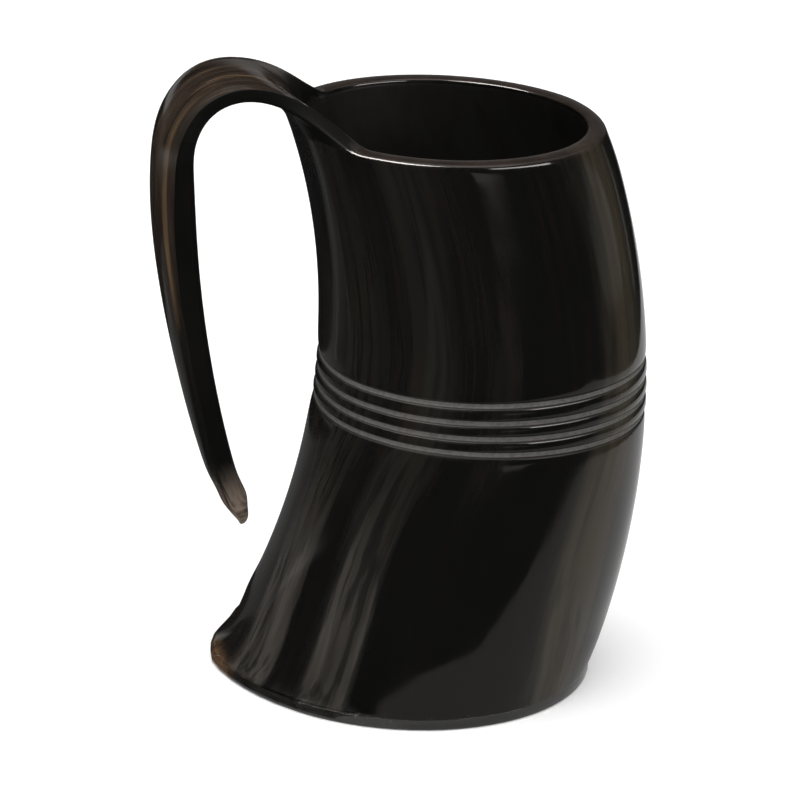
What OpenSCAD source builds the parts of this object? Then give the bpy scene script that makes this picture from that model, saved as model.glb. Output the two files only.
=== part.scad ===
// Horn drinking cup: a curved horn with its handle carved from the same horn, a glued foot plate and a seal.
// Millimetres. The cup stands on z = 0, the handle points along -X, and XZ is its plane of symmetry.

/* [Horn] */
// Height of the rim above the table
rim_height = 145; // [120:1:180]
// Length of the oval foot, along X
foot_length = 96.2; // [88:0.2:110]
// Width of the oval foot, along Y
foot_width = 95; // [86:0.2:108]
// Length of the rim's oval before its ends are flattened, along X
rim_length = 82; // [74:0.2:92]
// Width of the rim's oval, along Y
rim_width = 78; // [70:0.2:90]
// Radius of the curve that the horn's centre line follows
bow_radius = 184; // [150:1:400]
// Height at which the horn bows out most
bow_height = 76; // [60:1:95]
// Wall thickness at the rim
rim_wall = 5.5; // [4:0.1:8]
// Wall thickness at the foot
foot_wall = 4.6; // [3:0.1:7]
// Width of the flattened face at each end of the horn
flat_width = 34; // [24:1:44]
// Softness of the crease beside each flattened face
crease_softness = 2; // [1:0.1:4]
// Rounding of the rim's outer edge
rim_round = 1.2; // [0.8:0.1:1.9]

/* [Handle] */
// How far the handle's inner side stands out from its root
handle_reach = 26.8; // [18:0.2:36]
// How far the arch of the handle rises above the rim
handle_rise = 10.6; // [7:0.2:20]
// How far the handle's tip hangs below the rim
handle_drop = 103; // [70:1:110]
// Full width of the handle where it leaves the rim
handle_width = 28.2; // [20:0.2:36]
// Thickness of the handle's sides at mid height
handle_thickness = 6.6; // [4.5:0.1:8]
// How far the handle's outer face bulges beyond its sides
handle_crown = 3.4; // [1:0.1:5]
// Half angle of the wall that runs out into the handle
root_angle = 44; // [36:1:50]

/* [Grooves] */
// Height of the lowest groove
groove_height = 70.6; // [45:0.1:90]
// Height from the lowest groove to the highest
groove_band = 12.3; // [8:0.1:20]
// Width of one groove at the surface
groove_width = 1.7; // [1:0.1:2]
// Depth of one groove
groove_depth = 0.8; // [0.3:0.1:1.5]
// Tilt of the lowest groove, down toward the handle
groove_low_tilt = 0.3; // [0:0.1:2]
// Tilt of the highest groove, down toward the handle
groove_high_tilt = 1.9; // [0:0.1:3]

/* [Foot] */
// How far the foot flares out all round
foot_flare = 0.5; // [0:0.1:2]
// How far the foot leans out toward the handle
foot_lean = 0.9; // [0:0.1:3]
// How far the foot runs out in a toe below the handle
foot_toe = 1.8; // [0:0.1:3]
// Height of the flare, the lean and the toe above the foot plate
flare_height = 5; // [4:0.5:20]
// Thickness of the foot plate
plate_thickness = 3; // [2:0.1:5]
// Height and width of the seal in the corner between the plate and the wall
seal_size = 4.5; // [3:0.1:7]

/* [Hidden] */

horn_colour = [0.11, 0.09, 0.08];
plate_colour = [0.2, 0.15, 0.11];
seal_colour = [0.32, 0.24, 0.14];

// How strongly the handle side and the far side are flattened at the rim, and where the flats fade out
near_flat_share = 0.6;
far_flat_share = 0.25;
flat_fade_share = 0.25;
// How quickly the toe fades out round the foot
toe_power = 12;
// Where the grooves lie in their band, from the lowest to the highest
groove_shares = [0, 0.32, 0.64, 1];
// A groove's outline across its width, and how deep each of these points lies
groove_width_shares = [-0.5, -0.18, 0.18, 0.5];
groove_depth_shares = [0, 1, 1, 0];
// Clearance between the seal and the wall that it lies against
seal_clearance = 0.05;
// The inner edges are rounded less than the outer ones
inner_round_share = 0.4;

// Where the handle's columns lie across its width, from the far edge to the near one
across_shares = [-1, -0.8, -0.64, -0.48, -0.32, -0.16, 0, 0.16, 0.32, 0.48, 0.64, 0.8, 1];
// Points that guide the handle's inner side: share of the reach, of the rise and of the drop
guide_shares = [
    [0.32, 1, 0],
    [0.82, 0.77, 0],
    [1, 0, 0.016],
    [0.965, 0, 0.1],
    [0.915, 0, 0.25],
    [0.805, 0, 0.47],
    [0.55, 0, 0.77],
    [0.22, 0, 1.02]
];
// The handle's width, side thickness and bulge from the root to the tip, as shares of their sizes
width_shares = [1, 1, 0.985, 0.945, 0.82, 0.67, 0.55];
thickness_shares = [0.6, 0.5, 0.62, 0.96, 0.76, 0.64];
crown_shares = [0, 0.37, 0.78, 1, 0.77, 0.5];
// Length of the rounded tip, and the shares of the path over which the wall's curve runs out
tip_share = 0.06;
tip_end_share = 0.4;
root_share = 0.16;
lag_share = 0.2;
root_fall = 1.6;

around_steps = 54;
low_steps = 9;
low_spread = 1.5;
high_steps = 8;
inner_steps = 13;
handle_steps = 34;
edge_angles = [45, 90];

// Shared curves
function smooth(t) = let (c = min(max(t, 0), 1)) c * c * (3 - 2 * c);
function unit(v) = v / norm(v);
function soft_over(v) = v <= 0 ? 0 : v * v / (v + crease_softness);

// A smooth curve through a list of guides, from the second one to the last but one
function spline(guides, t) =
    let (i = min(floor(t), len(guides) - 4), f = t - i, g = 1 - f)
    (g * g * g * guides[i] + (3 * f * f * f - 6 * f * f + 4) * guides[i + 1]
        + (3 * g * g * g - 6 * g * g + 4) * guides[i + 2] + f * f * f * guides[i + 3]) / 6;

// A size along the handle, from shares that are spread evenly from root to tip
function along(shares, s) =
    let (n = len(shares))
    spline(concat([2 * shares[0] - shares[1]], shares, [2 * shares[n - 1] - shares[n - 2]]), s * (n - 1));

// The horn's outline at a height
function flare(z) = pow(1 - min((z - plate_thickness) / flare_height, 1), 2);
function bow(z) =
    sqrt(pow(bow_radius, 2) - pow(z - bow_height, 2))
    - sqrt(pow(bow_radius, 2) - pow(plate_thickness - bow_height, 2))
    + foot_lean * (1 - flare(z));
function taper(foot, rim, z) =
    let (f = (rim_height - z) / (rim_height - plate_thickness), neck = foot - 2 * foot_flare)
    (rim + (neck - rim) * f * f) / 2 + foot_flare * flare(z);
function flat(z, x) =
    (x < 0 ? near_flat_share : far_flat_share)
    * smooth((z / rim_height - flat_fade_share) / (1 - flat_fade_share));

// A point of the outer wall: an oval that follows the bow, with a flattened face at each end
function outer_at(a, z, cut = 0) =
    let (
        half_length = taper(foot_length, rim_length, z) - cut,
        half_width = taper(foot_width, rim_width, z) - cut,
        end_start = half_length * sqrt(1 - pow(flat_width / 2 / half_width, 2)),
        x = half_length * cos(a),
        pressed = x - sign(x) * flat(z, x) * soft_over(abs(x) - end_start),
        toe = foot_toe * flare(z) * pow(max(0, -cos(a)), toe_power)
    )
    [bow(z) + pressed - toe, half_width * sin(a), z];

// A point of the bore, which is a plain oval inside the wall
function wall_at(z) =
    foot_wall + (rim_wall - foot_wall) * (z - plate_thickness) / (rim_height - plate_thickness);
function bore_at(a, z, gap = 0) =
    let (inset = wall_at(z) + gap)
    [
        bow(z) + (taper(foot_length, rim_length, z) - inset) * cos(a),
        (taper(foot_width, rim_width, z) - inset) * sin(a),
        z
    ];

// The columns around the horn: those of the handle first, then the rest of the way round
handle_columns = len(across_shares);
column_angles = concat(
    [for (u = across_shares) 180 + u * root_angle],
    [for (k = [1 : around_steps - 1]) 180 + root_angle + k * (360 - 2 * root_angle) / around_steps]
);
columns = len(column_angles);

// The rows up the outside: height, tilt and depth of cut
groove_top = groove_height + groove_band;
groove_rows = [
    for (g = groove_shares, k = [0 : len(groove_width_shares) - 1])
        [
            groove_height + g * groove_band + groove_width_shares[k] * groove_width,
            groove_low_tilt + g * (groove_high_tilt - groove_low_tilt),
            groove_depth_shares[k] * groove_depth
        ]
];
outer_rows = concat(
    [
        for (k = [0 : low_steps - 1])
            let (f = pow(k / low_steps, low_spread))
            [plate_thickness + f * (groove_height - groove_width - plate_thickness), f * groove_low_tilt, 0]
    ],
    groove_rows,
    [
        for (k = [1 : high_steps])
            let (f = k / high_steps)
            [
                groove_top + groove_width + f * (rim_height - groove_top - groove_width),
                (1 - f) * groove_high_tilt,
                0
            ]
    ]
);
inner_heights = concat(
    [plate_thickness],
    [
        for (k = [0 : inner_steps])
            plate_thickness + seal_size + k / inner_steps * (rim_height - plate_thickness - seal_size)
    ]
);
function outer_row_point(row, a) =
    let (flat_point = outer_at(a, row[0], row[2]))
    outer_at(a, row[0] + flat_point[0] * tan(row[1]), row[2]);

// The handle follows a curve in the plane of symmetry that leaves the wall in the wall's own direction
root_point = outer_at(180, rim_height);
below_root = outer_at(180, rim_height - rim_wall);
root_direction = unit([root_point[0] - below_root[0], rim_wall]);
root_step = handle_rise / root_direction[1];
guides_on = [
    for (s = guide_shares)
        [root_point[0] - s[0] * handle_reach, rim_height + s[1] * handle_rise - s[2] * handle_drop]
];
guide_start = [root_point[0], rim_height];
guide_below = guide_start - root_step * root_direction;
last_guide = guides_on[len(guides_on) - 1];
guides = concat(
    [guide_below, (6 * guide_start - guide_below - guides_on[0]) / 4],
    guides_on,
    [2 * last_guide - guides_on[len(guides_on) - 2]]
);
path_end = len(guides) - 3;
function path_at(t) = spline(guides, min(t, path_end));
function path_direction(t) =
    let (e = 0.01, a = min(max(t, e), path_end - e)) unit(path_at(a + e) - path_at(a - e));

// How far the wall's own curve is still felt at a place along the path
function root_left(s) = s >= root_share ? 0 : pow(1 - s / root_share, root_fall);
function tip_shrink(s) =
    let (f = max(0, (s - 1 + tip_share) / tip_share))
    tip_end_share + (1 - tip_end_share) * sqrt(1 - f * f);

// The place of a column in a row of the handle: across, and a lag that lets the edges leave the rim level
function row_place(s, u) =
    let (f = max(0, 1 - s / lag_share)) path_end * s * (1 - f * f * u * u);
function row_normal(s, t) =
    let (d = path_direction(t), g = root_left(s)) unit(g * [1, 0] + (1 - g) * [d[1], -d[0]]);
root_half_width = abs(outer_at(180 + root_angle, rim_height)[1]);
function half_width_at(s) =
    let (w = handle_width / 2 * along(width_shares, s) * tip_shrink(s))
    w + (root_half_width - handle_width / 2 * width_shares[0]) * root_left(s);

// A point of the handle's inner side, which goes on from the outside of the wall
function under_at(s, k) =
    let (
        u = across_shares[k],
        wall_point = outer_at(column_angles[k], rim_height),
        t = row_place(s, u),
        c = path_at(t),
        n = row_normal(s, t),
        off = root_left(s) * (wall_point[0] - root_point[0]),
        y = half_width_at(s) * wall_point[1] / root_half_width
    )
    [c[0] + off * n[0], y, c[1] + off * n[1]];

// A point of the handle's outer side, which goes on from the bore
function over_at(s, k) =
    let (
        u = across_shares[k],
        wall_point = bore_at(column_angles[k], rim_height),
        t = row_place(s, u),
        c = path_at(t),
        n = row_normal(s, t),
        g = root_left(s),
        shrink = tip_shrink(s),
        thick = handle_thickness * along(thickness_shares, s) * shrink,
        bulge = handle_crown * along(crown_shares, s) * shrink * (1 - u * u),
        off = g * (wall_point[0] - root_point[0]) + (1 - g) * (thick + bulge),
        outer_y = outer_at(column_angles[k], rim_height)[1],
        y = half_width_at(s) * outer_y / root_half_width + g * (wall_point[1] - outer_y)
    )
    [c[0] + off * n[0], y, c[1] + off * n[1]];

// The sheet's open edge runs round the rim, up one side of the handle, over its tip and down the other side.
// Each place on it is a row, a column and a share of the path.
rim_row = len(outer_rows) - 1;
edge_places = concat(
    [for (c = [handle_columns - 1 : columns - 1]) [0, c]],
    [[0, 0]],
    [for (h = [1 : handle_steps]) [h, 0]],
    [for (c = [1 : handle_columns - 2]) [handle_steps, c]],
    [for (h = [handle_steps : -1 : 1]) [h, handle_columns - 1]]
);
edge_count = len(edge_places);
function edge_outer(p) =
    p[0] == 0 ? outer_at(column_angles[p[1]], rim_height) : under_at(p[0] / handle_steps, p[1]);
function edge_inner(p) =
    p[0] == 0 ? bore_at(column_angles[p[1]], rim_height) : over_at(p[0] / handle_steps, p[1]);
outer_edge = [for (p = edge_places) edge_outer(p)];
inner_edge = [for (p = edge_places) edge_inner(p)];
edge_scale = [for (p = edge_places) p[0] == 0 ? 1 : half_width_at(p[0] / handle_steps) / root_half_width];

// Points across the open edge, from the outside over the rounded edges to the inside
function edge_points(i) =
    let (
        next = (i + 1) % edge_count,
        last = (i + edge_count - 1) % edge_count,
        across = unit(inner_edge[i] - outer_edge[i]),
        out = unit(cross(outer_edge[next] - outer_edge[last], across)),
        r = rim_round * max(edge_scale[i], tip_end_share),
        q = r * inner_round_share
    )
    concat(
        [outer_edge[i] - r * out],
        [for (a = edge_angles) outer_edge[i] + r * (sin(a) - 1) * out + r * (1 - cos(a)) * across],
        [
            for (k = [len(edge_angles) - 1 : -1 : 0])
                let (a = edge_angles[k])
                inner_edge[i] + r * (sin(a) - 1) * out - q * (1 - cos(a)) * across
        ],
        [inner_edge[i] - r * out]
    );
edge_row = 2 + 2 * len(edge_angles);

// Where each point stands in the list: outside, handle inner side, bore, handle outer side, open edge
inner_rows = len(inner_heights);
under_start = rim_row * columns;
bore_start = under_start + (handle_steps + 1) * handle_columns;
over_start = bore_start + (inner_rows - 1) * columns;
edge_start = over_start + (handle_steps + 1) * handle_columns;
horn_points = concat(
    [for (r = [0 : rim_row - 1], a = column_angles) outer_row_point(outer_rows[r], a)],
    [for (h = [0 : handle_steps], k = [0 : handle_columns - 1]) under_at(h / handle_steps, k)],
    [for (r = [0 : inner_rows - 2], a = column_angles) bore_at(a, inner_heights[r])],
    [for (h = [0 : handle_steps], k = [0 : handle_columns - 1]) over_at(h / handle_steps, k)],
    [for (i = [0 : edge_count - 1]) each edge_points(i)]
);

// The number of a place on the open edge, counted along it, or -1 where a place isn't on it
function edge_number(h, c) =
    h == 0 && c == 0 ? columns - handle_columns + 1
    : h == 0 && c >= handle_columns - 1 ? c - handle_columns + 1
    : h > 0 && c == 0 ? columns - handle_columns + 1 + h
    : h == handle_steps && c < handle_columns - 1 ? columns - handle_columns + 1 + handle_steps + c
    : h > 0 && c == handle_columns - 1 ? edge_count - h
    : -1;
function outer_index(r, c) =
    let (h = r - rim_row, e = h < 0 ? -1 : edge_number(h, c))
    h < 0 ? r * columns + c : e >= 0 ? edge_start + e * edge_row : under_start + h * handle_columns + c;
function inner_index(r, c) =
    let (h = r - inner_rows + 1, e = h < 0 ? -1 : edge_number(h, c))
    h < 0 ? bore_start + r * columns + c
    : e >= 0 ? edge_start + e * edge_row + edge_row - 1
    : over_start + h * handle_columns + c;

// Two triangles for each patch of a side, seen clockwise from outside
function patch(a, b, c, d) = [[a, d, c], [a, c, b]];
horn_faces = concat(
    [
        for (r = [0 : rim_row - 1], c = [0 : columns - 1])
            let (n = (c + 1) % columns)
            each patch(outer_index(r, c), outer_index(r, n), outer_index(r + 1, n), outer_index(r + 1, c))
    ],
    [
        for (r = [rim_row : rim_row + handle_steps - 1], c = [0 : handle_columns - 2])
            each patch(
                outer_index(r, c), outer_index(r, c + 1), outer_index(r + 1, c + 1), outer_index(r + 1, c)
            )
    ],
    [
        for (r = [0 : inner_rows - 2], c = [0 : columns - 1])
            let (n = (c + 1) % columns)
            each patch(inner_index(r, n), inner_index(r, c), inner_index(r + 1, c), inner_index(r + 1, n))
    ],
    [
        for (r = [inner_rows - 1 : inner_rows + handle_steps - 2], c = [0 : handle_columns - 2])
            each patch(
                inner_index(r, c + 1), inner_index(r, c), inner_index(r + 1, c), inner_index(r + 1, c + 1)
            )
    ],
    [
        for (i = [0 : edge_count - 1], k = [0 : edge_row - 2])
            let (a = edge_start + i * edge_row + k, b = edge_start + ((i + 1) % edge_count) * edge_row + k)
            each patch(a, b, b + 1, a + 1)
    ],
    [
        for (c = [0 : columns - 1])
            let (n = (c + 1) % columns)
            each patch(inner_index(0, c), inner_index(0, n), outer_index(0, n), outer_index(0, c))
    ]
);

// The seal's outline: up the wall, then in a hollow curve down to the plate
seal_angles = [0, 22.5, 45, 67.5, 90];
function seal_points(a) =
    let (
        wall_foot = bore_at(a, plate_thickness, seal_clearance),
        wall_top = bore_at(a, plate_thickness + seal_size, seal_clearance),
        middle = bore_at(a, plate_thickness, seal_clearance + seal_size),
        inward = middle - wall_foot
    )
    concat(
        [wall_foot],
        [
            for (b = seal_angles)
                wall_foot + (wall_top - wall_foot) * (1 - sin(b)) + inward * (1 - cos(b))
        ]
    );
seal_row = 1 + len(seal_angles);

// The horn, hollow from foot to rim, with the four grooves and the handle in one piece
module horn_body() {
    color(horn_colour)
        polyhedron(points = horn_points, faces = horn_faces, convexity = 8);
}

// The oval plate glued under the horn and sanded flush with it
module foot_plate() {
    color(plate_colour)
        linear_extrude(height = plate_thickness)
            polygon([for (a = column_angles) [for (k = [0, 1]) outer_at(a, plate_thickness)[k]]]);
}

// The bead of resin inside the cup that closes the joint between the plate and the wall
module foot_seal() {
    color(seal_colour)
        polyhedron(
            points = [for (a = column_angles) each seal_points(a)],
            faces = [
                for (c = [0 : columns - 1], k = [0 : seal_row - 1])
                    let (a = c * seal_row, b = ((c + 1) % columns) * seal_row, m = (k + 1) % seal_row)
                    each patch(a + k, b + k, b + m, a + m)
            ],
            convexity = 4
        );
}

horn_body();
foot_plate();
foot_seal();
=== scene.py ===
import math

import bpy
import numpy as np
from mathutils import Matrix, Vector


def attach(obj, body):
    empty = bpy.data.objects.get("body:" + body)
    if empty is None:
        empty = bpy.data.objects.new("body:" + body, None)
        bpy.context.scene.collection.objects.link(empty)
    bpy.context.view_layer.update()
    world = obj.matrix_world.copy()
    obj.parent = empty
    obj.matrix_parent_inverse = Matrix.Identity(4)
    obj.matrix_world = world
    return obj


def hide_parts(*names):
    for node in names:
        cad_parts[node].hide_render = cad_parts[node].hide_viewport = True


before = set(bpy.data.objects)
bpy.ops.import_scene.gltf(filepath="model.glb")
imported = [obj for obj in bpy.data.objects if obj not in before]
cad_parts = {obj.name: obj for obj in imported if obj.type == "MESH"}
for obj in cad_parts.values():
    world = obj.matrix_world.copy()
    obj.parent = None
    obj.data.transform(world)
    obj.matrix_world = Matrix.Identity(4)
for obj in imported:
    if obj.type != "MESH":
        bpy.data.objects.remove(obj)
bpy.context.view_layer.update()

mm = 0.001
scene = bpy.context.scene


# Helpers for picking things and running operators on them
def deselectAll():
    bpy.ops.object.select_all(action='DESELECT')


def makeActive(piece):
    deselectAll()
    piece.select_set(True)
    bpy.context.view_layer.objects.active = piece


def editMesh(piece, selectMode='VERT'):
    makeActive(piece)
    bpy.ops.object.mode_set(mode='EDIT')
    bpy.ops.mesh.select_mode(type=selectMode)
    bpy.ops.mesh.select_all(action='DESELECT')
    bpy.ops.object.mode_set(mode='OBJECT')


def selectEdges(piece, wanted):
    editMesh(piece, 'EDGE')
    mesh = piece.data
    for edge in mesh.edges:
        a, b = (mesh.vertices[i].co for i in edge.vertices)
        edge.select = wanted(a, b)
    bpy.ops.object.mode_set(mode='EDIT')


def leaveEdit():
    bpy.ops.object.mode_set(mode='OBJECT')


def applyModifiers(piece):
    makeActive(piece)
    for modifier in list(piece.modifiers):
        bpy.ops.object.modifier_apply(modifier=modifier.name)


# A copy of a solid from the frame, joined up so that it can be worked on
def copyOfNode(nodeName, pieceName):
    makeActive(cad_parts[nodeName])
    bpy.ops.object.duplicate(linked=False)
    piece = bpy.context.active_object
    for key in [k for k in piece.keys() if k.startswith("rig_")]:
        del piece[key]
    piece.parent = None
    piece.name = piece.data.name = pieceName
    piece.data.materials.clear()
    editMesh(piece)
    bpy.ops.object.mode_set(mode='EDIT')
    bpy.ops.mesh.select_all(action='SELECT')
    bpy.ops.mesh.remove_doubles(threshold=0.01 * mm)
    leaveEdit()
    return piece


# The horn: trunk and handle in one piece
horn = {
    "rimHeight": 145 * mm,
    "footHeight": 3 * mm,
    "bowRadius": 184 * mm,
    "bowHeight": 76 * mm,
    "handleWidth": 28.2 * mm,
    "rootWidth": 54.2 * mm,
    "rootAngle": 44,             # half angle of the wall that runs out into the handle
    "grooveHeights": [70.6, 74.54, 78.47, 82.9],
    "grooveTilts": [0.3, 0.81, 1.32, 1.9],
    "grooveWidth": 1.7 * mm,
    "tipWide": 5.5 * mm,         # length over which the tip narrows
    "tipThick": 4 * mm,          # length over which it thins
    "tipReach": 0.7 * mm,
    "tipIn": (0.6 * mm, 10.5 * mm, 4 * mm),        # how much, how far above the tip, over what length
    "tipSwelling": (0.7 * mm, 9.5 * mm, 5 * mm),
    "tipSanding": 5,
    "footTrim": 1.45 * mm,
    "trimAngle": 26,
    "trimWidth": 10,
    "toePoint": 0.6 * mm,
    "toeAngle": 1,
    "toeWidth": 8,
    "edgeReach": 46 * mm,        # past this all of the foot's edge is trimmed, not just its outer side
    "trimHeights": [4, 7, 9.5, 12, 14, 17, 21],
    "trimShares": [1.0, 0.8, 0.4, 0.0, -0.2, -0.15, 0.0],
}


def makeHornCup():
    cup = copyOfNode("horn_body", "hornCup")
    bpy.ops.object.mode_set(mode='EDIT')
    bpy.ops.mesh.select_all(action='SELECT')
    bpy.ops.mesh.tris_convert_to_quads(face_threshold=math.radians(60), shape_threshold=math.radians(60))
    leaveEdit()
    low = horn["footHeight"] + 0.05 * mm
    selectEdges(cup, lambda a, b: a.z < low and b.z < low)
    bpy.ops.transform.edge_crease(value=1.0)
    leaveEdit()
    smooth = cup.modifiers.new("roundOff", 'SUBSURF')
    smooth.levels = smooth.render_levels = 2
    applyModifiers(cup)
    roundTip(cup)
    trimFoot(cup)
    return cup


# How far the horn's middle line has bowed at a height, because it follows a circle
def bowAt(z):
    return np.sqrt(horn["bowRadius"] ** 2 - (z - horn["bowHeight"]) ** 2) - math.sqrt(
        horn["bowRadius"] ** 2 - (horn["footHeight"] - horn["bowHeight"]) ** 2)


# The middle of the handle's inner side, from the rim over the arch to the tip
handlePath = [(-36.8, 145), (-40.6, 150.6), (-46.0, 154.2), (-52.0, 154.0), (-57.6, 150.6), (-61.2, 145.2),
              (-62.6, 139), (-62.4, 130), (-61.2, 118), (-59.0, 104), (-55.8, 88), (-52.0, 74), (-47.6, 60),
              (-43.6, 48), (-41.6, 42)]


# A smooth curve through the points
def smoothPath(points, steps):
    points = np.array(points, float) * mm
    knots = np.vstack([2 * points[0] - points[1], points, 2 * points[-1] - points[-2]])
    out = []
    for i in range(1, len(knots) - 2):
        for k in range(steps):
            t = k / steps
            a, b, c, d = knots[i - 1:i + 3]
            out.append(0.5 * (2 * b + (c - a) * t + (2 * a - 5 * b + 4 * c - d) * t * t
                              + (3 * b - a - 3 * c + d) * t ** 3))
    return np.array(out + [knots[-2]])


# Where each point lay when the horn grew: the trunk and the handle are laid out as one straight tube,
# so that streaks run on from the wall into the handle and wind slowly round the foot
growth = {
    "radius": 42 * mm,
    # how far the streaks have wound at these heights above the table
    "twistHeights": [0, 5, 13, 22, 32, 42, 52, 62, 72, 82, 92],
    "twistAngles": [10, 10.6, 12, 13.9, 15, 14.6, 12.6, 8.9, 4.3, 1.2, 0],
    # how streaked the horn is at these angles round it: 0 is the handle's side, 90 the back and 270 the front
    "streakAngles": [0, 30, 60, 90, 125, 150, 180, 205, 216, 230, 240, 289, 293, 297, 307, 311, 320, 323,
                     335, 342, 360],
    "streakShares": [0.3, 0.8, 0.2, 0.7, 0.1, 0.6, 0.1, 0.3, 0.7, 0.6, 0.0, 0.0, 0.6, 0.85, 0.8, 0.1, 0.1, 0.85,
                     0.95, 0.35, 0.3],
    "oliveAngles": [206, 216, 228, 237],
    "goldAngle": 29,
    "goldWidth": 3.5,
    # how wide the handle still is, from the arch to the tip
    "taperPlaces": [0, 0.33, 0.5, 0.67, 0.83, 1],
    "taperShares": [1, 0.985, 0.945, 0.82, 0.67, 0.5],
}


def placesOf(piece, field="co"):
    values = np.zeros(len(piece.data.vertices) * 3)
    piece.data.vertices.foreach_get(field, values)
    return values.reshape(-1, 3)


# Which points lie on the handle, and how far along and how deep under its path each of them is
def handlePlaces(co):
    x, y, z = co.T
    onHandle = (z > horn["rimHeight"] + 0.1 * mm) | (x < -37 * mm - (z - 46 * mm) * 0.12)
    onHandle &= z > 38 * mm
    path = smoothPath(handlePath, 24)
    gone = np.concatenate([[0], np.cumsum(np.hypot(*(path[1:] - path[:-1]).T))])
    tangent = np.gradient(path, axis=0)
    tangent /= np.hypot(tangent[:, 0], tangent[:, 1])[:, None]
    flat = np.stack([x, z], -1)[onHandle]
    nearest = np.array([np.argmin(((path - p) ** 2).sum(1)) for p in flat])
    offset = flat - path[nearest]
    t = tangent[nearest]
    depth = offset[:, 0] * t[:, 1] - offset[:, 1] * t[:, 0]
    along = gone[nearest] + (offset * t).sum(1)
    return onHandle, along, depth, t, gone[-1]


# The handle's end is sanded to a round point
def roundTip(piece):
    co = placesOf(piece)
    onHandle, along, depth, t, total = handlePlaces(co)
    back = along.max() - along
    whole = depth[(back > 6 * mm) & (back < 10 * mm)]
    middle = (whole.min() + whole.max()) / 2
    narrower, thinner = (np.sqrt(1 - np.clip(1 - (back + 0.6 * mm) / length, 0, 1) ** 2)
                         for length in (horn["tipWide"], horn["tipThick"]))
    moved = (thinner - 1) * (depth - middle)
    reach = horn["tipReach"] * np.clip(1 - back / horn["tipWide"], 0, 1)
    co[onHandle, 0] += moved * t[:, 1] + reach * t[:, 0]
    co[onHandle, 1] *= narrower
    co[onHandle, 2] += reach * t[:, 1] - moved * t[:, 0]
    # it lies a little further in, and is a little thicker, just above the point
    innerSide = np.clip(1 - depth / (3.2 * mm), 0, 1)
    for (much, above, over), where in ((horn["tipIn"], 1), (horn["tipSwelling"], innerSide)):
        co[onHandle, 0] += much * np.exp(-((back - above) / over) ** 2) * where
    piece.data.vertices.foreach_set("co", co.ravel())
    piece.data.update()
    atEnd = np.zeros(len(co), bool)
    atEnd[onHandle] = back < horn["tipWide"]
    editMesh(piece)
    piece.data.vertices.foreach_set("select", atEnd)
    bpy.ops.object.mode_set(mode='EDIT')
    bpy.ops.mesh.vertices_smooth(factor=0.5, repeat=horn["tipSanding"])
    leaveEdit()


# The real foot isn't quite even: its edge is sanded in a little behind the toe
def trimFoot(piece):
    co = placesOf(piece)
    x, y, z = co.T
    reach = np.hypot(x, y)
    angle = np.degrees(np.arctan2(y, -x))
    trim = horn["footTrim"] * np.exp(-((angle - horn["trimAngle"]) / horn["trimWidth"]) ** 2)
    trim -= horn["toePoint"] * np.exp(-((angle - horn["toeAngle"]) / horn["toeWidth"]) ** 2)
    trim *= sum(np.interp(z / mm + step, horn["trimHeights"], horn["trimShares"]) for step in (-2, 0, 2)) / 3
    normals = placesOf(piece, "normal")
    outward = normals[:, 0] * x + normals[:, 1] * y > 0.2 * reach
    trimmed = outward | (reach > horn["edgeReach"])
    co[:, :2] *= (1 - np.where(trimmed, trim, 0) / np.maximum(reach, 1 * mm))[:, None]
    piece.data.vertices.foreach_set("co", co.ravel())
    piece.data.update()


def growthPlaces(piece):
    co = placesOf(piece)
    x, y, z = co.T
    bow = bowAt(np.clip(z, 0, horn["rimHeight"]))
    around = np.arctan2(y, -(x - bow))
    outwards = np.hypot(x - bow, y)
    around = around - np.radians(np.interp(z / mm, growth["twistHeights"], growth["twistAngles"]))
    length = z.copy()
    onHandle, along, depth, t, total = handlePlaces(co)
    share = np.clip(along / total, 0, 1)
    halfWidth = horn["handleWidth"] / 2 * np.interp(share, growth["taperPlaces"], growth["taperShares"])
    halfWidth += (horn["rootWidth"] - horn["handleWidth"]) / 2 * np.clip(1 - share / 0.16, 0, 1) ** 1.6
    rootAngle = math.radians(horn["rootAngle"])
    around[onHandle] = np.clip(y[onHandle] / halfWidth, -1.2, 1.2) * rootAngle
    length[onHandle] = horn["rimHeight"] + along
    outwards[onHandle] = growth["radius"] - depth
    places = np.stack([outwards * np.cos(around), outwards * np.sin(around), length], -1)
    return co, places, onHandle, share


def addAttribute(piece, name, kind, values):
    attribute = piece.data.attributes.new(name, kind, 'POINT')
    field = "vector" if kind == 'FLOAT_VECTOR' else "value"
    attribute.data.foreach_set(field, np.ascontiguousarray(values, np.float32).ravel())


# How squarely each point of the handle faces away from the cup, across the handle's path
def handleSides(co, normals):
    onHandle, along, depth, t, total = handlePlaces(co)
    side = np.zeros(len(co))
    facing = normals[onHandle][:, [0, 2]]
    side[onHandle] = np.clip(facing[:, 0] * t[:, 1] - facing[:, 1] * t[:, 0], 0, 1)
    return side


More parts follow.
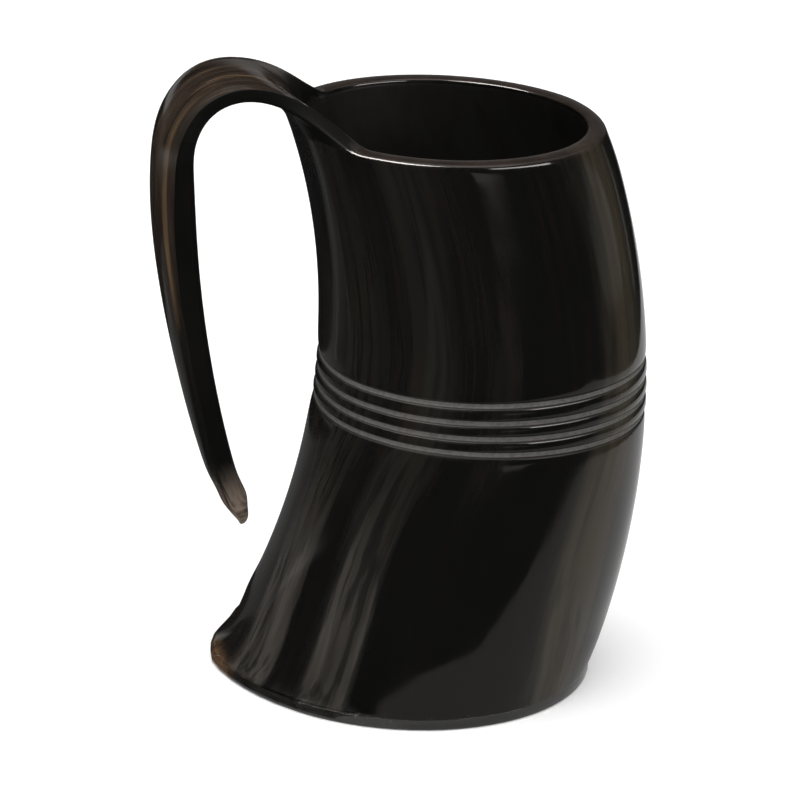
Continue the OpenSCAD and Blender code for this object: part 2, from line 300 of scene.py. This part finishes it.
def markGrowth(piece):
    co, places, onHandle, share = growthPlaces(piece)
    x, y, z = co.T
    addAttribute(piece, "growth", 'FLOAT_VECTOR', places)
    # some sides of the horn are more streaked than others
    angle = np.degrees(np.arctan2(places[:, 1], places[:, 0])) % 360
    streaked = np.interp(angle, growth["streakAngles"], growth["streakShares"])
    streaked *= np.interp(z / mm, [72, 96], [1, 0.72])
    streaked[onHandle] *= 0.35
    addAttribute(piece, "streaked", 'FLOAT', streaked)
    # an olive streak runs up the side away from the handle
    olive = np.interp(angle, growth["oliveAngles"], [0, 1, 1, 0])
    addAttribute(piece, "olive", 'FLOAT', olive)
    # how far along the handle a point lies, 0 on the trunk and 1 at the tip
    handleShare = np.zeros(len(x))
    handleShare[onHandle] = share
    addAttribute(piece, "handleShare", 'FLOAT', handleShare)
    # the handle's far half is darker from the arch down
    signed = (angle + 180) % 360 - 180
    darkSide = np.clip((signed - 6) / 8, 0, 1) * np.interp(handleShare, [0.20, 0.30, 0.72, 0.86], [0, 1, 1, 0.2])
    addAttribute(piece, "darkSide", 'FLOAT', darkSide)
    # one golden streak runs down the handle's near half
    gold = np.exp(-((signed + growth["goldAngle"]) / growth["goldWidth"]) ** 2)
    gold *= np.interp(handleShare, [0.10, 0.24, 0.44, 0.62], [0, 1, 1, 0])
    addAttribute(piece, "gold", 'FLOAT', gold)
    # the grooves, on the outer wall alone
    bow = bowAt(np.clip(z, 0, horn["rimHeight"]))
    normals = placesOf(piece, "normal")
    outward = (normals[:, 0] * (x - bow) + normals[:, 1] * y) > 0
    cut = np.zeros(len(x))
    for height, tilt in zip(horn["grooveHeights"], horn["grooveTilts"]):
        level = height * mm + x * math.tan(math.radians(tilt))
        away = np.abs(z - level) / (horn["grooveWidth"] / 2)
        cut = np.maximum(cut, np.clip((1.25 - away) / 0.75, 0, 1))
    cut[~outward | onHandle] = 0
    addAttribute(piece, "groove", 'FLOAT', cut)
    # 1 on the outer side of the handle, 0 on its edges and its inner side
    addAttribute(piece, "handleSide", 'FLOAT', handleSides(co, normals))
    # 1 on the cut top of the rim
    rimFace = np.clip((z - horn["rimHeight"] + 1.6 * mm) / (1 * mm), 0, 1)
    rimFace *= np.clip(normals[:, 2] * 1.6 - 0.6, 0, 1)
    rimFace *= np.clip(1 - handleShare / 0.05, 0, 1)
    # the edges of the split tongue are left sawn and dull near its root
    sawn = np.clip((np.abs(normals[:, 1]) - 0.15) / 0.25, 0, 1) * np.clip((0.30 - handleShare) / 0.1, 0, 1)
    sawn[~onHandle] = 0
    addAttribute(piece, "sawn", 'FLOAT', sawn)
    addAttribute(piece, "rimFace", 'FLOAT', rimFace)
    inside = np.zeros(len(x))
    inside[~outward & ~onHandle & (z < horn["rimHeight"] - 1.5 * mm)] = 1
    addAttribute(piece, "inside", 'FLOAT', inside)


# The nodes of one material. The horn's are built from noise in the growth places, so that its streaks follow it
class Nodes:
    def __init__(self, name):
        self.material = bpy.data.materials.new(name)
        self.material.use_nodes = True
        self.tree = self.material.node_tree
        self.shader = self.tree.nodes["Principled BSDF"]
        self.column = 0

    # a keyword such as toScale or to0 feeds that input of the node, and any other sets one of its properties
    def add(self, kind, **values):
        node = self.tree.nodes.new(kind)
        self.column += 1
        node.location = (-200 * (self.column % 9) - 300, 220 * (self.column // 9))
        for key, value in values.items():
            if key.startswith("to"):
                socket = node.inputs[int(key[2:]) if key[2:].isdigit() else key[2:]]
                self.feed(socket, value)
            else:
                setattr(node, key, value)
        return node

    def feed(self, socket, value):
        if isinstance(value, bpy.types.NodeSocket):
            self.tree.links.new(value, socket)
        else:
            socket.default_value = value

    def attribute(self, name):
        return self.add("ShaderNodeAttribute", attribute_name=name)

    def growth(self, scale, shift=(0, 0, 0)):
        source = self.attribute("growth").outputs["Vector"]
        return self.add("ShaderNodeMapping", toVector=source, toScale=scale, toLocation=shift).outputs[0]

    def noise(self, vector, scale, detail=3.0, roughness=0.5, distortion=0.0):
        node = self.add("ShaderNodeTexNoise", toVector=vector, toScale=scale, toDetail=detail,
                        toRoughness=roughness, toDistortion=distortion)
        return node.outputs["Fac"]

    def ramp(self, value, stops):
        node = self.add("ShaderNodeValToRGB", to0=value)
        ramp = node.color_ramp
        while len(ramp.elements) < len(stops):
            ramp.elements.new(0.5)
        for element, (place, colour) in zip(ramp.elements, stops):
            element.position = place
            element.color = (*colour, 1) if isinstance(colour, tuple) else (colour, colour, colour, 1)
        return node.outputs["Color"]

    def mix(self, factor, a, b, how='MIX'):
        node = self.add("ShaderNodeMix", data_type='RGBA', blend_type=how)
        for place, value in ((0, factor), (6, a), (7, b)):
            self.feed(node.inputs[place], (*value, 1) if isinstance(value, tuple) else value)
        return node.outputs[2]

    def maths(self, how, a, b=0.0, clamp=False):
        return self.add("ShaderNodeMath", operation=how, use_clamp=clamp, to0=a, to1=b).outputs[0]

    def times(self, a, b):
        return self.maths('MULTIPLY', a, b)

    def band(self, value, low, high, start=0.0, end=1.0):
        node = self.add("ShaderNodeMapRange", interpolation_type='SMOOTHSTEP', to0=value, to1=low, to2=high,
                        to3=start, to4=end)
        return node.outputs[0]

    # the three parts of a vector
    def parts(self, vector):
        return self.add("ShaderNodeSeparateXYZ", toVector=vector).outputs

    def objectPlace(self):
        return self.add("ShaderNodeTexCoord").outputs["Object"]

    def bump(self, height, distance, strength=1.0, under=None):
        node = self.add("ShaderNodeBump", toHeight=height, toDistance=distance, toStrength=strength)
        if under is not None:
            self.tree.links.new(under, node.inputs["Normal"])
        return node.outputs[0]

    # a value or a node's output goes into a socket of the shader
    def set(self, name, value):
        self.feed(self.shader.inputs[name], value)


hornColours = {
    "black": (0.0050, 0.0051, 0.0048),
    "brownBlack": (0.0090, 0.0078, 0.0068),
    "greyBrown": (0.0165, 0.0148, 0.0125),
    "greyStreak": (0.0285, 0.0280, 0.0245),
    # pale streaks low on the body: partly the horn's own streaks, partly painted sheen
    "lowStreakAndSheen": (0.0950, 0.0860, 0.0760),
    "redBrown": (0.0170, 0.0105, 0.0085),
    "olive": (0.0420, 0.0350, 0.0240),
    "insideGrey": (0.0130, 0.0130, 0.0125),
    "toeBrown": (0.150, 0.085, 0.045),
    "speck": (0.42, 0.38, 0.33),
    "handleBrown": (0.069, 0.050, 0.036),
    "golden": (0.165, 0.105, 0.056),
    "pale": (0.34, 0.26, 0.20),
    "rimBrown": (0.034, 0.024, 0.0195),
    "grooveDust": (0.150, 0.143, 0.136),
}


# Near the joint with the plate the horn shows pale specks of glue and dust, and its toe lets a little light through
def footColours(m, colour):
    place = m.objectPlace()
    x, y, z = m.parts(place)
    blotches = m.noise(place, 260, 3.0, 0.6, 0.4)
    toe = m.times(m.band(x, -46.5 * mm, -50.2 * mm), m.band(z, 10 * mm, 2.5 * mm))
    toe = m.times(toe, m.ramp(blotches, [(0.3, 0.25), (0.6, 1.0)]))
    colour = m.mix(toe, colour, hornColours["toeBrown"])
    nearJoint = m.band(m.maths('ABSOLUTE', m.maths('SUBTRACT', z, 3.0 * mm)), 0.85 * mm, 0.15 * mm)
    dots = m.ramp(m.noise(place, 800, 4.0, 0.75, 0.8), [(0.585, 0.0), (0.66, 1.0)])
    patchy = m.ramp(m.noise(place, 60, 2.0), [(0.44, 0.0), (0.58, 1.0)])
    # only outside the wall, and mostly toward the toe
    reach = m.add("ShaderNodeVectorMath", operation='LENGTH', to0=place).outputs["Value"]
    shown = m.times(m.band(reach, 43.5 * mm, 45.5 * mm), m.band(x, 14 * mm, -6 * mm))
    nearJoint = m.times(nearJoint, shown)
    specks = m.times(m.times(nearJoint, dots), patchy)
    return m.mix(specks, colour, hornColours["speck"])


def hornMaterial():
    m = Nodes("polishedHorn")
    c = hornColours
    # long streaks at three widths: broad clouds, streaks a few millimetres wide, and hair lines
    streaked = m.attribute("streaked").outputs["Fac"]
    broad = m.noise(m.growth((1, 1, 0.16)), 36, 2.0, 0.5, 0.5)
    middle = m.noise(m.growth((1, 1, 0.07), (0.31, 0.02, 0)), 130, 3.0, 0.55, 0.3)
    fine = m.noise(m.growth((1, 1, 0.03), (0.11, 0.05, 0)), 520, 3.0, 0.6, 0.15)
    lighter = m.add("ShaderNodeMath", operation='MULTIPLY_ADD', to0=broad, to1=1.3, to2=-0.65).outputs[0]
    clouds = m.maths('ADD', m.times(streaked, 1.1), lighter, True)
    colour = m.mix(clouds, c["black"], c["greyBrown"])
    streaks = m.times(m.ramp(middle, [(0.47, 0.0), (0.62, 1.0)]), clouds)
    colour = m.mix(m.times(streaks, 0.6), colour, c["greyStreak"])
    x, y, height = m.parts(m.objectPlace())
    # the streaks grow paler toward the foot: partly the horn's own pale streaks, partly painted sheen
    low = m.times(m.times(m.band(height, 66 * mm, 14 * mm), m.band(streaked, 0.3, 0.8)),
                  m.ramp(middle, [(0.36, 0.15), (0.60, 1.0)]))
    colour = m.mix(m.times(low, 0.8), colour, c["lowStreakAndSheen"])
    hairs = m.times(m.ramp(fine, [(0.48, 0.0), (0.64, 1.0)]), m.ramp(broad, [(0.36, 0.0), (0.6, 1.0)]))
    colour = m.mix(m.times(hairs, 0.45), colour, c["redBrown"])
    darkHairs = m.noise(m.growth((1, 1, 0.03), (0.9, 0.3, 0)), 330, 3.0, 0.6, 0.15)
    darkHairs = m.ramp(darkHairs, [(0.50, 0.0), (0.60, 1.0)])
    colour = m.mix(m.times(darkHairs, 0.6), colour, c["black"])
    olive = m.times(m.attribute("olive").outputs["Fac"], m.ramp(middle, [(0.34, 0.0), (0.56, 1.0)]))
    colour = m.mix(m.times(olive, m.ramp(fine, [(0.3, 0.5), (0.6, 1.0)])), colour, c["olive"])
    # the bore is a dull, mottled dark grey
    inside = m.attribute("inside").outputs["Fac"]
    mottle = m.noise(m.growth((1, 1, 0.5)), 110, 5.0, 0.65, 0.6)
    dull = m.mix(m.ramp(mottle, [(0.32, 0.0), (0.66, 1.0)]), c["brownBlack"], c["insideGrey"])
    colour = m.mix(inside, colour, dull)
    # the arch and the outer side of the handle are browner, with golden hair lines, and the tip is pale
    share = m.attribute("handleShare").outputs["Fac"]
    side = m.attribute("handleSide").outputs["Fac"]
    arch = m.times(m.times(m.band(share, 0.01, 0.07), m.band(share, 0.80, 0.12)),
                   m.band(side, 0.30, 0.80))
    cloudy = m.noise(m.growth((1, 1, 0.3), (0.4, 0, 0)), 90, 4.0, 0.6, 0.8)
    browner = m.mix(m.ramp(cloudy, [(0.30, 0.0), (0.65, 1.0)]), c["redBrown"], c["handleBrown"])
    colour = m.mix(m.times(arch, m.ramp(middle, [(0.32, 0.3), (0.56, 1.0)])), colour, browner)
    colour = m.mix(m.times(m.times(darkHairs, arch), 0.55), colour, c["brownBlack"])
    lined = m.times(m.band(share, 0.0, 0.06), m.band(share, 0.52, 0.12))
    lines = m.times(m.ramp(fine, [(0.56, 0.0), (0.66, 1.0)]), m.ramp(middle, [(0.50, 0.0), (0.60, 1.0)]))
    lines = m.times(m.times(lines, lined), m.band(side, 0.1, 0.6))
    colour = m.mix(m.times(lines, 0.7), colour, c["golden"])
    darkSide = m.times(m.attribute("darkSide").outputs["Fac"], m.ramp(cloudy, [(0.25, 0.75), (0.6, 1.0)]))
    colour = m.mix(m.times(darkSide, 0.85), colour, c["brownBlack"])
    gold = m.times(m.attribute("gold").outputs["Fac"], m.ramp(fine, [(0.42, 0.1), (0.62, 1.0)]))
    colour = m.mix(m.times(gold, 0.9), colour, c["golden"])
    tipNoise = m.noise(m.growth((1, 1, 0.25)), 230, 4.0, 0.6, 0.5)
    tip = m.times(m.band(share, 0.86, 1.0), m.ramp(tipNoise, [(0.36, 0.0), (0.62, 0.9)]))
    colour = m.mix(tip, colour, c["pale"])
    colour = footColours(m, colour)
    # the sawn rim shows a little brown
    rim = m.attribute("rimFace").outputs["Fac"]
    colour = m.mix(m.times(rim, m.ramp(middle, [(0.3, 0.3), (0.7, 1.0)])), colour, c["rimBrown"])
    sawn = m.attribute("sawn").outputs["Fac"]
    colour = m.mix(m.times(sawn, m.ramp(mottle, [(0.3, 1.0), (0.75, 0.6)])), colour, c["black"])
    # grooves are left matt and hold a little polish dust
    cut = m.attribute("groove").outputs["Fac"]
    groove = m.band(cut, 0.62, 0.95)
    matt = m.band(cut, 0.0, 0.5)
    dust = m.noise(m.growth((1, 1, 1)), 900, 3.0, 0.6)
    colour = m.mix(m.times(groove, m.ramp(dust, [(0.3, 0.6), (0.65, 1.0)])), colour, c["grooveDust"])
    m.set("Base Color", colour)
    polish = m.noise(m.growth((1, 1, 0.35)), 90, 4.0, 0.6)
    roughness = m.band(polish, 0.3, 0.8, 0.07, 0.19)
    roughness = m.mix(inside, roughness, (0.60, 0.60, 0.60))
    roughness = m.mix(rim, roughness, (0.22, 0.22, 0.22))
    roughness = m.mix(m.band(share, 0.84, 0.94), roughness, (0.32, 0.32, 0.32))
    roughness = m.mix(sawn, roughness, (0.45, 0.45, 0.45))
    roughness = m.mix(matt, roughness, (0.80, 0.80, 0.80))
    m.set("Roughness", roughness)
    uneven = m.noise(m.growth((1, 1, 0.14), (0.2, 0, 0)), 70, 1.0, 0.5)
    # the polish flattens the last of the wall above the foot, in front and behind
    wayX, wayY, wayZ = m.parts(m.add("ShaderNodeNewGeometry").outputs["Normal"])
    steeper = m.times(m.band(height, 22 * mm, 13 * mm), m.band(x, -32 * mm, -15 * mm))
    upward = m.times(wayZ, m.maths('SUBTRACT', 1.0, m.times(steeper, 0.75)))
    wall = m.add("ShaderNodeCombineXYZ", toX=wayX, toY=wayY, toZ=upward).outputs[0]
    wall = m.add("ShaderNodeVectorMath", operation='NORMALIZE', to0=wall).outputs[0]
    normal = m.bump(uneven, 0.30 * mm, 0.4, wall)
    combed = m.noise(m.growth((1, 1, 0.10), (0.5, 0, 0)), 380, 1.0, 0.5, 0.4)
    normal = m.bump(combed, 0.030 * mm, 0.6, normal)
    m.set("Normal", normal)
    dullness = m.maths('MAXIMUM', m.times(inside, 0.88), m.times(matt, 0.7))
    dullness = m.maths('MAXIMUM', dullness, m.times(sawn, 0.95))
    dullness = m.maths('MAXIMUM', dullness, m.times(rim, 0.4))
    m.set("Specular IOR Level", m.times(m.maths('SUBTRACT', 1.0, dullness), 0.27))
    m.set("Specular Tint", (1.0, 0.95, 0.90, 1))
    return m.material


def plateMaterial():
    m = Nodes("footPlateHorn")
    c = hornColours
    place = m.objectPlace()
    lie = m.add("ShaderNodeMapping", toVector=place, toScale=(0.12, 1, 1)).outputs[0]
    streaks = m.noise(lie, 160, 4.0, 0.55, 0.5)
    colour = m.mix(m.ramp(streaks, [(0.38, 0.0), (0.66, 1.0)]), c["brownBlack"], c["greyStreak"])
    m.set("Base Color", footColours(m, colour))
    m.set("Roughness", m.band(m.noise(lie, 300, 3.0), 0.3, 0.8, 0.14, 0.3))
    m.set("Coat Weight", 0.25)
    m.set("Coat Roughness", 0.06)
    m.set("Normal", m.bump(m.noise(lie, 900, 2.0), 0.02 * mm, 0.5))
    return m.material


def sealMaterial():
    m = Nodes("amberResin")
    place = m.objectPlace()
    cloud = m.noise(place, 140, 3.0, 0.5, 0.3)
    m.set("Base Color", m.mix(m.ramp(cloud, [(0.35, 0.0), (0.7, 1.0)]), (0.07, 0.04, 0.018), (0.15, 0.095, 0.045)))
    m.set("Roughness", m.band(cloud, 0.3, 0.8, 0.12, 0.3))
    m.set("Normal", m.bump(m.noise(place, 500, 2.0), 0.05 * mm, 0.4))
    return m.material


cup = makeHornCup()
markGrowth(cup)
cup.data.materials.append(hornMaterial())
for polygon in cup.data.polygons:
    polygon.use_smooth = True
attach(cup, "root")
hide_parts("horn_body")
print("horn cup:", len(cup.data.polygons), "faces")


# The plate under the horn, its lower edge rounded and its upper edge just eased
plate = {
    "edge": 0.7 * mm,
    "topEdge": 0.04 * mm,
}


def makeFootPlate():
    foot = copyOfNode("foot_plate", "footPlate")
    bpy.ops.object.mode_set(mode='EDIT')
    bpy.ops.mesh.select_all(action='SELECT')
    bpy.ops.mesh.dissolve_limited(angle_limit=math.radians(0.5))
    leaveEdit()
    selectEdges(foot, lambda a, b: a.z < 0.1 * mm and b.z < 0.1 * mm)
    bpy.ops.mesh.bevel(offset=plate["edge"], segments=4, affect='EDGES')
    leaveEdit()
    top = max(v.co.z for v in foot.data.vertices) - 0.1 * mm
    selectEdges(foot, lambda a, b: a.z > top and b.z > top)
    bpy.ops.mesh.bevel(offset=plate["topEdge"], segments=2, affect='EDGES')
    leaveEdit()
    trimFoot(foot)
    makeActive(foot)
    bpy.ops.object.shade_smooth_by_angle(angle=math.radians(35))
    return foot


foot = makeFootPlate()
foot.data.materials.append(plateMaterial())
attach(foot, "root")
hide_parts("foot_plate")
print("foot plate:", len(foot.data.polygons), "faces")


def makeSeal():
    seal = copyOfNode("foot_seal", "footSeal")
    bpy.ops.object.mode_set(mode='EDIT')
    bpy.ops.mesh.select_all(action='SELECT')
    bpy.ops.mesh.tris_convert_to_quads(face_threshold=math.radians(60), shape_threshold=math.radians(60))
    leaveEdit()
    makeActive(seal)
    bpy.ops.object.shade_smooth_by_angle(angle=math.radians(50))
    return seal


seal = makeSeal()
seal.data.materials.append(sealMaterial())
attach(seal, "root")
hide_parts("foot_seal")
print("seal:", len(seal.data.polygons), "faces")


# The studio: a pale floor under soft light, and round it a dark surround with soft glows in it that only the gloss
# sees. The dark part starts in front of the cup, as past the edge of a table.
studio = {
    "floorSize": 14.0,
    "floorColour": (0.90, 0.90, 0.90),
    "floorGlow": 0.22,           # seen by the camera only
    "mirroredFloor": (0.22, 0.22, 0.22),         # in the gloss the floor is more even
    "mirroredGlow": 0.43,
    "worldStrength": 0.55,
    # corners of the pale floor that the gloss sees, from the near left round to the far left
    "paleCorners": [(-0.032, -0.054), (-0.014, -0.089), (0.003, -0.117), (0.040, -0.138), (0.10, -0.148),
                    (0.30, -0.142), (0.30, 1.20), (0.10, 1.20), (0.055, 0.20)],
    "paleCentre": (0.15, 0.54),
    "paleReach": (0.15, 0.66),
    "surroundSize": 2.6,
    "surroundTall": 3.0,
    "surroundColour": (0.010, 0.010, 0.010),
    "cards": {
        "streakCard": (0.90, [(-0.142, 0.150), (-0.148, 0.145), (-0.180, 0.192), (-0.176, 0.196)]),
        "windowCard": (0.90, [(0.060, -0.700), (0.380, -0.750), (0.152, -0.480), (0.050, -0.420)]),
        "lowLeftCard": (0.11, [(0.000, 0.060), (-0.240, 0.110), (-0.240, 0.195), (-0.010, 0.195)]),
    },
}


def plainMaterial(name, colour, roughness=0.6):
    m = Nodes(name)
    m.set("Base Color", (*colour, 1))
    m.set("Roughness", roughness)
    m.set("Specular IOR Level", 0.0)
    return m.material


def glossOnly(piece):
    piece.visible_camera = piece.visible_diffuse = piece.visible_shadow = piece.visible_transmission = False


def makeFloor():
    deselectAll()
    bpy.ops.mesh.primitive_plane_add(size=studio["floorSize"], location=(0, 0, 0))
    floor = bpy.context.active_object
    floor.name = "studioFloor"
    m = Nodes("paleFloor")
    rays = m.add("ShaderNodeLightPath")
    glossy = rays.outputs["Is Glossy Ray"]
    m.set("Base Color", m.mix(glossy, studio["floorColour"], studio["mirroredFloor"]))
    m.set("Roughness", 0.6)
    m.set("Specular IOR Level", 0.0)
    m.set("Emission Color", (1, 1, 1, 1))
    glow = m.times(rays.outputs["Is Camera Ray"], studio["floorGlow"])
    m.set("Emission Strength", m.maths('ADD', glow, m.times(glossy, studio["mirroredGlow"])))
    floor.data.materials.append(m.material)


def makeSurround():
    corners = [Vector((*corner, 1.0 * mm)) for corner in studio["paleCorners"]]
    centre = (*studio["paleCentre"], 1.0 * mm)
    wider, longer = (studio["surroundSize"] / reach for reach in studio["paleReach"])
    deselectAll()
    mesh = bpy.data.meshes.new("studioSurround")
    mesh.from_pydata(corners, [(i, (i + 1) % len(corners)) for i in range(len(corners))], [])
    ring = bpy.data.objects.new("studioSurround", mesh)
    scene.collection.objects.link(ring)
    makeActive(ring)
    bpy.ops.object.mode_set(mode='EDIT')
    bpy.ops.mesh.select_all(action='SELECT')
    bpy.ops.mesh.extrude_edges_move()
    bpy.ops.transform.resize(value=(wider, longer, 1), center_override=centre)
    bpy.ops.mesh.extrude_edges_move(TRANSFORM_OT_translate={"value": (0, 0, studio["surroundTall"])})
    leaveEdit()
    ring.data.materials.append(plainMaterial("darkSurround", studio["surroundColour"], 1.0))
    glossOnly(ring)


def makeCard(name, paleness, corners):
    deselectAll()
    bpy.ops.mesh.primitive_plane_add(size=1, location=(0, 0, 0))
    card = bpy.context.active_object
    card.name = name
    for vertex, corner in zip(card.data.vertices, (corners[i] for i in (0, 1, 3, 2))):
        vertex.co = (*corner, 2.0 * mm)
    card.data.materials.append(plainMaterial("pale" + name, (paleness,) * 3))
    glossOnly(card)


# Azimuth 0 is in front of the cup with the handle at the left, and 90 is away from the handle
def directionOf(azimuth, elevation):
    a, e = math.radians(azimuth), math.radians(elevation)
    return Vector((math.sin(a) * math.cos(e), -math.cos(a) * math.cos(e), math.sin(e)))


# A glowing sheet that fades to nothing at its edges
def glowSheet(name, location, facing, size, radiance, edge=0.45):
    deselectAll()
    bpy.ops.mesh.primitive_plane_add(size=2, location=location, rotation=facing.to_track_quat('Z', 'Y').to_euler())
    sheet = bpy.context.active_object
    sheet.name = name
    sheet.scale = (size[0] / 2, size[1] / 2, 1)
    m = Nodes("glow" + name)
    place = m.objectPlace()
    fade = m.add("ShaderNodeTexGradient", gradient_type='QUADRATIC_SPHERE', toVector=place).outputs["Fac"]
    m.set("Base Color", (0, 0, 0, 1))
    m.set("Specular IOR Level", 0.0)
    m.set("Emission Color", (1, 1, 1, 1))
    m.set("Emission Strength", m.times(m.band(fade, 0.0, edge), radiance))
    m.material.cycles.emission_sampling = 'NONE'
    sheet.data.materials.append(m.material)
    glossOnly(sheet)


def softGlow(name, azimuth, elevation, distance, size, radiance, edge=0.45):
    towards = directionOf(azimuth, elevation)
    glowSheet(name, distance * towards + Vector((0, 0, 0.1)), towards, size, radiance, edge)


def softLamp(name, azimuth, elevation, distance, size, radiance, highlightOnly=True):
    towards = directionOf(azimuth, elevation)
    light = bpy.data.lights.new(name, 'AREA')
    light.shape = 'RECTANGLE'
    light.size, light.size_y = size
    light.energy = radiance * math.pi * size[0] * size[1]        # the power that gives the sheet this radiance
    lamp = bpy.data.objects.new(name, light)
    scene.collection.objects.link(lamp)
    lamp.location = distance * towards + Vector((0, 0, 0.1))
    lamp.rotation_euler = (-towards).to_track_quat('-Z', 'Y').to_euler()
    lamp.visible_diffuse = not highlightOnly


makeFloor()
makeSurround()
for cardName, card in studio["cards"].items():
    makeCard(cardName, *card)
softGlow("backGlow", 160, 10, 2.2, (2.2, 0.9), 0.22)
softGlow("lowBackGlow", -170, 0, 1.5, (1.1, 0.42), 0.40)
softGlow("leftGlow", -118, 12, 2.0, (4.2, 1.7), 0.62)
softGlow("rightGlow", 91, -4, 0.62, (0.36, 0.26), 0.29, 0.12)
softGlow("rightLine", 119, -4, 0.50, (0.016, 0.30), 0.7)
softGlow("frontGlow", -30, 16, 1.8, (1.9, 1.3), 0.75)
glowSheet("farFloorGlow", Vector((-0.66, 0.40, 2 * mm)), Vector((0, 0, 1)), (1.0, 0.8), 0.50)
softLamp("overhead", 0, 88, 2.2, (2.2, 2.2), 2.8, False)
softLamp("highLeft", -62, 58, 1.6, (1.30, 1.00), 60)
softLamp("frontRight", 42, 18, 1.6, (1.20, 0.40), 16)

world = bpy.data.worlds.new("softRoom")
scene.world = world
world.use_nodes = True
sky = world.node_tree.nodes["Background"]
sky.inputs[0].default_value = (1, 1, 1, 1)
sky.inputs[1].default_value = studio["worldStrength"]
print("studio: floor, surround, cards, glows and lamps")


# The camera stands where the photograph was taken from
view = {
    "azimuth": -14.79,
    "elevation": 20.46,
    "roll": 3.43,
    "distance": 1.1229,
    "lens": 199.4,
    "target": (0, 0, 0.0725),
    "shift": (-0.0232, -0.0102),
}


def makeCamera():
    a, r = math.radians(view["azimuth"]), math.radians(view["roll"])
    back = directionOf(view["azimuth"], view["elevation"])
    right = Vector((math.cos(a), math.sin(a), 0))
    up = back.cross(right)
    turnedRight = math.cos(r) * right + math.sin(r) * up
    turnedUp = -math.sin(r) * right + math.cos(r) * up
    lens = bpy.data.cameras.new("photoCamera")
    lens.lens = view["lens"]
    lens.sensor_width = 36
    lens.shift_x, lens.shift_y = view["shift"]
    lens.clip_start, lens.clip_end = 0.05, 60
    camera = bpy.data.objects.new("photoCamera", lens)
    scene.collection.objects.link(camera)
    place = Vector(view["target"]) + view["distance"] * back
    turn = Matrix((turnedRight, turnedUp, back)).transposed().to_4x4()
    camera.matrix_world = Matrix.Translation(place) @ turn
    scene.camera = camera


makeCamera()
print("camera: at", tuple(round(value, 3) for value in scene.camera.location))
scene.view_settings.view_transform = 'Standard'
